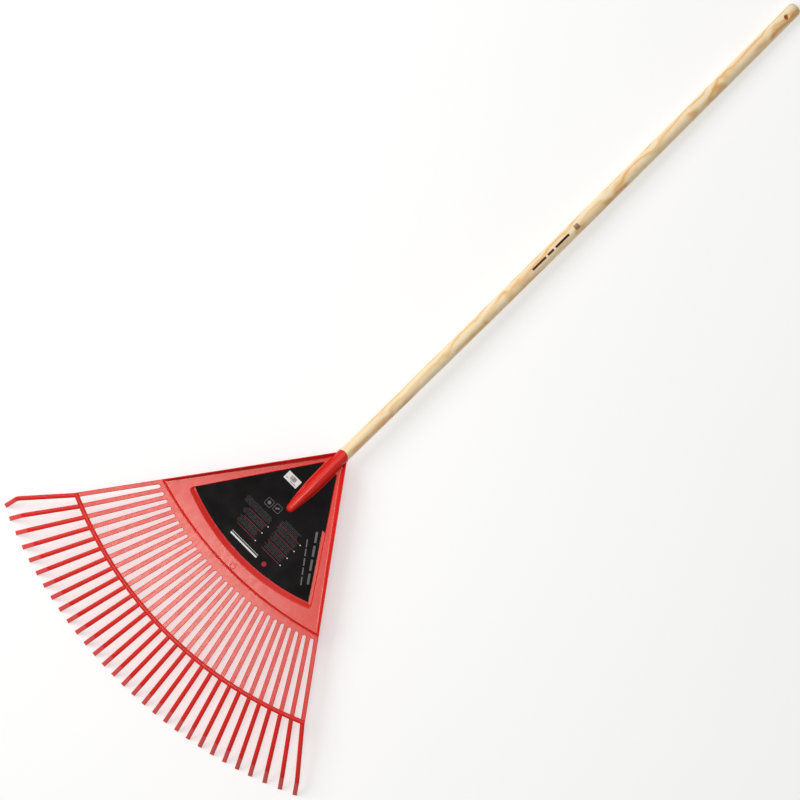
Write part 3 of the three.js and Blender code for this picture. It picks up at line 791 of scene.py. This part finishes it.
def tine_section(centre, forward, side, thickness, width=1.0):
    """A rectangular section with rounded upper edges."""
    up = forward.cross(side).normalized() * -1
    half, top = TINE_HALF * width, thickness / 2
    left = [(-half + 0.3 * MM, -top), (-half, -top + 0.3 * MM)]
    left += [(-half, top - 0.95 * MM), (-half + 0.12 * MM, top - 0.5 * MM)]
    left += [(-half + 0.42 * MM, top - 0.15 * MM), (-half + 0.95 * MM, top), (-half + 1.4 * MM, top)]
    right = [(-aside, rise) for aside, rise in left[::-1]]
    return [tuple(centre + side * aside + up * rise) for aside, rise in left + right]


def tine_path(index):
    """The middle line of an outer tine: its root on the crossbar, its bend and its tip."""
    angle = tine_angle(index)
    outward = math.copysign(1, angle)
    spread = angle + outward * edge_value(index, LEFT_SPREAD, RIGHT_SPREAD)
    toed = spread - outward * edge_value(index, LEFT_TOE_IN, RIGHT_TOE_IN)
    start = Vector(CROSSBAR.point(angle, 0.0, 4.9 * MM))
    shank = TIPS.reach(angle) - start.length - HOOK_REACH
    corner = start + Vector(beside_ray(spread, shank))
    tip = corner + Vector(beside_ray(toed, HOOK_REACH))
    root_z = (TINE_TOP + TINE_BOTTOM) / 2
    rise = TIP_THICKNESS / 2 * math.cos(HOOK_SLOPE)
    return (
        Vector((start.x, start.y, root_z)),
        Vector((corner.x, corner.y, root_z - shank * math.tan(TINE_SLOPE))),
        Vector((tip.x, tip.y, ground_at(tip.y) + rise)),
    )


def tine_stations(index):
    """Sections from root to tip, each a place, a direction, a thickness and a share of the width."""
    root, corner, tip = tine_path(index)
    ray = Vector((*beside_ray(tine_angle(index), 1.0), 0)).normalized()
    shank = (corner - root).normalized()
    hook = (tip - corner).normalized()
    leg = 5.5 * MM
    bend_start, bend_end = corner - shank * leg, corner + hook * leg
    thicknesses = (TINE_TOP - TINE_BOTTOM, TIP_THICKNESS)
    stations = [(root - ray * 4 * MM, ray, thicknesses[0], 1)]
    for share in spaced(0, 1, 12):
        direction = ray.lerp(shank, min(share * 5, 1)).normalized()
        stations.append((root.lerp(bend_start, share), direction, between(thicknesses, share), 1))
    for share in spaced(0, 1, 5)[1:]:
        place = bend_start.lerp(corner, share).lerp(corner.lerp(bend_end, share), share)
        stations.append((place, shank.lerp(hook, share).normalized(), TIP_THICKNESS, 1))
    for share in (0.5, 0.96, 0.99):
        stations.append((bend_end.lerp(tip, share), hook, TIP_THICKNESS, 1))
    stations.append((tip, hook, TIP_THICKNESS - 0.4 * MM, 0.95))
    return stations


def make_tine(index):
    """One outer tine with its hook, which stays level across its width."""
    rings = []
    for place, direction, thickness, width in tine_stations(index):
        flat = Vector((direction.x, direction.y, 0)).normalized()
        side = Vector((-flat.y, flat.x, 0))
        rings.append(tine_section(place, direction, side, thickness, width))
    name = f"head_tine_{index + 1:02d}"
    return add_mesh(name, *loft(rings), RED, "red_plastic", sharp=50)


# ---- Handle and screw ----

def bow_at(y):
    """How far the handle's middle is to the side of the head's axis, from its bow and its lean."""
    share = max(0, (y - MOUTH) / (HANDLE_END - MOUTH))
    return HANDLE_BOW * 4 * share * (1 - share) + HANDLE_LEAN * share


def handle_radius(y):
    """The handle's radius, a little less near the socket."""
    return HANDLE_NECK + (HANDLE_RADIUS - HANDLE_NECK) * ramp(y / (500 * MM), 0.4)


def dome_stations():
    """Heights and radii along the handle's domed end."""
    full_turn = math.radians(78)
    stations = []
    for turn in spaced(0, full_turn, 9)[1:]:
        y = HANDLE_END - DOME_LENGTH + DOME_LENGTH * math.sin(turn) / math.sin(full_turn)
        stations.append((y, HANDLE_RADIUS * (0.22 + 0.78 * math.cos(turn)) - 0.38 * MM * math.sin(turn)))
    return stations


def make_handle():
    """The handle: the tapered foot in the socket, the bowed shaft and the dome, with its hang hole."""
    spigot = [(-142 * MM, 5.5 * MM), (-84 * MM, 9.4 * MM), (-8 * MM, 11.5 * MM), (-5 * MM, 12.2 * MM)]
    shaft = [(y, handle_radius(y)) for y in spaced(-3 * MM, HANDLE_END - DOME_LENGTH, 60)]
    rings = []
    for y, radius in spigot + shaft + dome_stations():
        rings.append([(x, y, z) for x, z in disc(bow_at(y), AXIS_HEIGHT, radius, 64)])
    handle = add_mesh("wooden_handle", *loft(rings), WOOD, "handle_wood", sharp=50)
    drill_hole(handle)
    return handle


def drill_hole(handle):
    """Cuts the hang hole, a little aslant and with eased edges; the cutter's darker colour passes to the
    hole's wall as painted shade.
    """
    mouth = [(11.4 * MM, HOLE_RADIUS), (12.2 * MM, 5.6 * MM), (18 * MM, 6.2 * MM)]
    rings = []
    for z, radius in [(-z, radius) for z, radius in mouth[::-1]] + mouth:
        y = HOLE_PLACE + (z - 12 * MM) * math.tan(HOLE_LEAN)
        rings.append(flat_ring(disc(bow_at(HOLE_PLACE), y, radius, 40), AXIS_HEIGHT + z))
    cut_out(handle, add_mesh("drill", *loft(rings), PAINTED_HOLE_SHADE, "handle_wood"), sharp=35)


def make_screw():
    """The screw under the socket: a pan head with a cross recess, on a pointed shank."""
    seat = AXIS_HEIGHT - socket_radius(SCREW_PLACE)
    head = [(-2.9, 1.2), (-2.78, 2.2), (-2.4, 3.2), (-1.7, 3.9), (-0.9, 4.2), (-0.3, 4.2)]
    shank = [(-0.3, 2.0), (11.7, 2.0), (15.7, 0.2)]
    rings = [flat_ring(disc(0.0, SCREW_PLACE, radius * MM, 48), seat + z * MM)
             for z, radius in head + shank]
    screw = add_mesh("screw_under_socket", *loft(rings), STEEL, "screw_steel", sharp=50)
    for turn in (math.radians(20), math.radians(110)):
        slot = bar(0.0, SCREW_PLACE, 4.6 * MM, 1.1 * MM, turn)
        rings = [flat_ring(slot, seat + z * MM) for z in (-3.5, -1.5)]
        cut_out(screw, add_mesh("recess", *loft(rings), STEEL, "screw_steel"), sharp=50)
    return screw


def burnt_patch(low, high, half_width):
    """Rings of a thin patch that wraps the top of the handle between two heights."""
    rings = []
    for y in spaced(low, high, 6):
        ring = []
        for lift, side in ((0.04 * MM, 1), (-0.1 * MM, -1)):
            radius = handle_radius(y) + lift
            for share in spaced(-side, side, 4):
                turn = share * half_width / radius
                x = bow_at(y) + radius * math.sin(turn)
                ring.append((x, y, AXIS_HEIGHT + radius * math.cos(turn)))
        rings.append(ring)
    return rings


def make_burnt_mark():
    """A plain mark burnt into the handle: three bars and a square, with no letters."""
    bars_and_square = ((476, 510, 2.2), (515, 530, 2.2), (535, 569, 2.2), (584, 594, 5.0))
    patches = [burnt_patch(low * MM, high * MM, half * MM) for low, high, half in bars_and_square]
    solids = [strip_faces(patch) for patch in patches]
    return add_mesh("handle_burnt_mark", *together(solids), BURNT_WOOD, "handle_wood", sharp=60)


# ---- Label and sticker ----

LABEL_LOW = BLADE_TOP - RECESS_DEPTH + 0.05 * MM
LABEL_HIGH = LABEL_LOW + 0.9 * MM
LABEL_REACH = 267.2 * MM
LABEL_EDGE = Arc(LABEL_REACH, 413 * MM)

# The middles of the sticker and of the label's two pictograms.
STICKER = (-34.2 * MM, -103.2 * MM)
PICTOGRAMS = ((-34.5 * MM, -162.6 * MM), (-16 * MM, -160 * MM))


def label_side(y, inset):
    """Where the label's right-hand side is at a height, drawn in from the recess's wall."""
    return math.tan(RECESS_SIDE) * (RECESS_APEX - y) - inset / math.cos(RECESS_SIDE)


def label_foot(side, inset):
    """How far from the axis a side of the label meets its lower edge."""
    y = -LABEL_REACH
    for _ in range(12):
        x = label_side(y, inset)
        y = LABEL_EDGE.centre - math.sqrt(LABEL_EDGE.radius ** 2 - x ** 2)
    return side * x


def label_outline():
    """The label's outline: its left side, round lower edge, right side with a jog, and the socket."""
    margin, narrow, jog, top = 1.5 * MM, 7.2 * MM, -130 * MM, -41.9 * MM
    left, right = label_foot(-1, margin), label_foot(1, narrow)
    radius = LABEL_EDGE.radius
    turns = spaced(math.asin(left / radius), math.asin(right / radius), 30)
    edge = [(radius * math.sin(turn), LABEL_EDGE.centre - radius * math.cos(turn)) for turn in turns]
    corner = label_side(top, margin)
    right_side = [(label_side(jog, narrow), jog), (label_side(jog, margin), jog), (corner, top)]
    return [(-corner, top)] + edge + right_side + foot_line(top, 0.94)


def make_label():
    rings = [flat_ring(label_outline(), z) for z in (LABEL_LOW, LABEL_HIGH)]
    return add_mesh("label_sheet", *loft(rings), BLACK_CARD, "label_card", sharp=30)


def add_print(name, shapes, looks, slot, low, thickness=0.05 * MM):
    """Flat printed shapes as thin solids; each shape is a list of points in the head's frame."""
    solids = [loft([flat_ring(shape, z) for z in (low, low + thickness)]) for shape in shapes]
    return add_mesh(name, *together(solids), looks, slot, sharp=30)


def rounded_square(x, y, size, corner):
    """A square with round corners and its middle at a place."""
    shape = []
    for quarter in range(4):
        middle = math.radians(45 + 90 * quarter)
        reach = (size / 2 - corner) * math.sqrt(2)
        cx, cy = x + reach * math.cos(middle), y + reach * math.sin(middle)
        for turn in spaced(middle - math.pi / 4, middle + math.pi / 4, 4):
            shape.append((cx + corner * math.cos(turn), cy + corner * math.sin(turn)))
    return shape


def text_block(left, right, high, low, chance):
    """Rows of short bars in place of small print, with no letters, between four edges in millimetres."""
    height, gap, line_space = 1.1, 1.2, 2.7
    bars = []
    y = high
    while y > low:
        x = left + chance.uniform(0, 6)
        while x < right - 3:
            length = min(chance.uniform(3, 11), right - x)
            bars.append(bar((x + length / 2) * MM, y * MM, length * MM, height * MM))
            x += length + gap
        y -= line_space
    return bars


def slogan(start, end, width, pieces, chance):
    """A broken line of bars between two places, in millimetres."""
    start, end = Vector(start) * MM, Vector(end) * MM
    along = (end - start).normalized()
    turn = math.atan2(along.y, along.x)
    pitch = (end - start).length / pieces
    bars = []
    for k in range(pieces):
        length = pitch * chance.uniform(0.75, 0.9)
        middle = start + along * (pitch * k + length / 2)
        bars.append(bar(middle.x, middle.y, length, width * MM, turn))
    return bars


# Where the print lies on the label, in millimetres: blocks of small print by their four edges, rules by
# their middle and length, and the dots at the ends of the rules.
TEXT_BLOCKS = (
    (-72, -8, -180, -193),
    (-62, -9, -198.5, -209),
    (-58, -9, -214.5, -227),
    (6, 50, -165, -176),
    (5, 56, -181, -191),
    (8, 56, -196.5, -209),
    (10, 56, -214.5, -227),
)
RULES = (
    (-30, -195.7, 47),
    (-28, -211.6, 44),
    (-28, -229.5, 46),
    (33, -178, 52),
    (34, -193.8, 50),
    (35, -211.6, 49),
    (36, -229.7, 47),
)
DOTS = (
    (-4.6, -195.7),
    (-4.6, -211.6),
    (-3.6, -229.6),
    (60.5, -178),
    (60.5, -193.8),
    (60.5, -211.6),
    (60.5, -229.7),
)


def make_print():
    """Generic print: blocks of bars, thin red rules with dots, two pictogram frames and stripes."""
    chance = random.Random(7)
    low = LABEL_HIGH - 0.01 * MM
    small = [shape for block in TEXT_BLOCKS for shape in text_block(*block, chance)]
    frames = [rounded_square(*place, 15 * MM, 3 * MM) for place in PICTOGRAMS]
    insets = [rounded_square(*place, 13.4 * MM, 2.4 * MM) for place in PICTOGRAMS]
    symbols = [disc(*PICTOGRAMS[0], 3.4 * MM), bar(*PICTOGRAMS[1], 8 * MM, 3 * MM, 0.6)]
    rules = [bar(x * MM, y * MM, length * MM, 0.7 * MM) for x, y, length in RULES]
    red_dot = disc(38 * MM, -249 * MM, 4.6 * MM)
    dots = [disc(x * MM, y * MM, 1.1 * MM, 12) for x, y in DOTS]
    stripes = [bar(-13.5 * MM, y * MM, 66 * MM, width * MM) for y, width in ((-250, 3.2), (-245.4, 0.8))]
    claims = slogan((65, -139), (124, -223), 4.2, 4, chance)
    claims += slogan((62, -161), (114, -230), 2.4, 5, chance)
    prints = {
        "label_print_small": (small, GREY_INK, 0),
        "label_print_frames": (frames, CLAIM_INK, 0),
        "label_print_insets": (insets, BLACK_CARD, 0.02),
        "label_print_symbols": (symbols, CLAIM_INK, 0.04),
        "label_print_rules": (rules + [red_dot], RED_INK, 0),
        "label_print_stripes": (stripes + dots, WHITE_INK, 0.01),
        "label_print_claims": (claims, CLAIM_INK, 0),
    }
    return [add_print(name, shapes, looks, "label_card", low + lift * MM)
            for name, (shapes, looks, lift) in prints.items()]


def make_sticker():
    sheet = bar(*STICKER, 31 * MM, 16.7 * MM)
    return add_print("barcode_sticker_paper", [sheet], PAPER, "sticker_paper", LABEL_HIGH, 0.2 * MM)


def make_sticker_bars():
    """The sticker's plain block of dark bars, with a bar on its left and one below."""
    chance = random.Random(3)
    x, y = STICKER
    place, bars = x - 5.6 * MM, []
    while place < x + 6.4 * MM:
        width = chance.uniform(0.35, 1.0) * MM
        bars.append(bar(place + width / 2, y + 1.6 * MM, width, 8.4 * MM))
        place += width + chance.uniform(0.25, 0.7) * MM
    bars.append(bar(x - 10.4 * MM, y - 3.6 * MM, 5 * MM, 1.0 * MM))
    bars.append(bar(x + 5.5 * MM, y - 5.4 * MM, 14 * MM, 1.1 * MM))
    return add_print("barcode_sticker_bars", bars, GREY_INK, "sticker_paper", LABEL_HIGH + 0.19 * MM)


# ---- Marks of the mould ----

def ring_mark(name, x, y, radius, base, height):
    """A low round bead left by the mould."""
    side = [(-0.7, -0.3), (-0.6, 0.35), (-0.3, 0.85)]
    section = side + [(0.0, 1.0)] + [(-out, rise) for out, rise in side[::-1]]
    rings = []
    for turn in spaced(0, 2 * math.pi, 32):
        ring = []
        for out, rise in section:
            reach = radius + out * MM
            ring.append((x + reach * math.cos(turn), y + reach * math.sin(turn), base + rise * height))
        rings.append(ring)
    return add_mesh(name, *loft(rings, closed_ends=False), RED, "red_plastic", sharp=80)


def make_marks():
    """The gate mark on the front and the ejector marks on the back."""
    marks = [ring_mark("head_gate_mark", 0.8 * MM, -292 * MM, 5 * MM, BLADE_TOP, 0.25 * MM)]
    places = [(side * x, y) for side in (-1, 1) for x, y in ((52, -289), (112, -281), (158, -262))]
    for k, (x, y) in enumerate(places):
        name = f"head_ejector_mark_{k + 1}"
        marks.append(ring_mark(name, x * MM, y * MM, 4 * MM, -BLADE_TOP, -0.25 * MM))
    return marks


# ---- Stage, camera and lights ----

def make_floor():
    """A pale, faintly lit table top, which keeps the shadows between the tines light."""
    looks = Looks("floor", Roughness=0.9, Specular_IOR_Level=0.1, Emission_Strength=0.5)
    tone = looks.ramp(looks.noise(0.8, 2), (0.3, (0.53, 0.53, 0.53)), (0.7, (0.55, 0.55, 0.55)))
    looks.set("Base Color", tone)
    looks.shader.inputs["Emission Color"].default_value = (1, 1, 1, 1)
    size, low = 30, -0.0002
    corners = ((-size, -size, low), (size, -size, low), (size, size, low), (-size, size, low))
    mesh = bpy.data.meshes.new("floor")
    mesh.from_pydata(corners, [], [(0, 1, 2, 3)])
    mesh.materials.append(looks.material)
    floor = add_object("floor", mesh)


# The photograph's framing, in the head's frame: its directions, its middle and its width in metres.
IMAGE_RIGHT = Vector((0.705, 0.709, 0)).normalized()
IMAGE_UP = Vector((-IMAGE_RIGHT.y, IMAGE_RIGHT.x, 0))
VIEW_CENTRE = Vector((0.9 * MM, 137.9 * MM, 0))
VIEW_WIDTH = 1.4584
CAMERA_DISTANCE = 12.0

# An upward direction for lights, which none of them looks along.
LIGHT_UP = Vector((0.01, 1, 0.02))


def aim(thing, place, target, up):
    """Puts a camera or light at a place, looking at a target, with an upward direction."""
    back = (place - target).normalized()
    right = up.cross(back).normalized()
    turn = Matrix((right, back.cross(right), back)).transposed().to_4x4()
    thing.matrix_world = Matrix.Translation(place) @ turn


def make_camera():
    data = bpy.data.cameras.new("camera")
    data.lens = data.sensor_width * CAMERA_DISTANCE / VIEW_WIDTH
    data.clip_end = 100
    camera = add_object("camera", data)
    target = PLACE @ VIEW_CENTRE
    aim(camera, target + BLADE_NORMAL * CAMERA_DISTANCE, target, PLACE.to_3x3() @ IMAGE_UP)
    bpy.context.scene.camera = camera


def add_softbox(name, place, target, size, power, colour=(1, 1, 1)):
    """A square area light of a size in metres and a power in watts."""
    data = bpy.data.lights.new(name, "AREA")
    data.size = size
    data.energy = power
    data.color = colour
    light = add_object(name, data)
    aim(light, place, target, LIGHT_UP)
    return light


def make_lights():
    """A softbox beside the handle, a small warm one over the tines, and a fill that gives no gloss."""
    beside_handle = PLACE @ Vector((-1.45, 0.42, 0))
    add_softbox("overhead", beside_handle + Vector((0, 0, 3.2)), beside_handle, 3.0, 22)
    tines = PLACE @ Vector((-0.05, -0.5, 0))
    add_softbox("accent", tines + Vector((0, 0, 3.0)), tines, 0.5, 8.8, colour=(1.0, 0.95, 0.84))
    fill_place = IMAGE_UP * 1.4 - IMAGE_RIGHT * 3.0 + Vector((0, 0, 3.2))
    fill = add_softbox("fill", fill_place, Vector((0, 0.45, 0)), 3.0, 142)
    fill.visible_glossy = False


def make_world():
    world = bpy.data.worlds.new("studio")
    world.use_nodes = True
    background = world.node_tree.nodes["Background"]
    background.inputs["Color"].default_value = (1, 1, 1, 1)
    background.inputs["Strength"].default_value = 0.26
    bpy.context.scene.world = world
    bpy.context.scene.view_settings.view_transform = "Standard"


# ---- The rake ----


def add_head():
    blade = make_blade()
    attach(blade, "head")
    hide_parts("blade")
    socket = make_socket()
    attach(socket, "head")
    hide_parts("socket")
    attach(make_socket_foot(), "head")


def add_comb():
    comb = make_comb()
    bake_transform(comb)
    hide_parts(*[f"tine_pair_{k:02d}" for k in range(1, TINES // 2 + 1)])
    crossbar = make_crossbar()
    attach(crossbar, "comb")
    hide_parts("crossbar")


def add_outer_tines():
    for index in range(TINES):
        tine = make_tine(index)
        number = f"{index + 1:02d}"
        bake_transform(tine)
        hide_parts(f"tine_tip_{number}")


def add_handle():
    handle = make_handle()
    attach(handle, "head")
    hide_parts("handle")
    screw = make_screw()
    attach(screw, "head")
    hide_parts("socket_screw")


def add_label():
    label = make_label()
    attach(label, "head")
    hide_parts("label")
    sticker = make_sticker()
    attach(sticker, "head")
    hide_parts("barcode_sticker")
    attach(make_sticker_bars(), "head")


def build():
    make_camera()
    make_lights()
    make_world()
    make_floor()
    add_head()
    add_comb()
    add_outer_tines()
    add_handle()
    add_label()
    for piece in [make_burnt_mark()] + make_print() + make_marks():
        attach(piece, "head")


build()
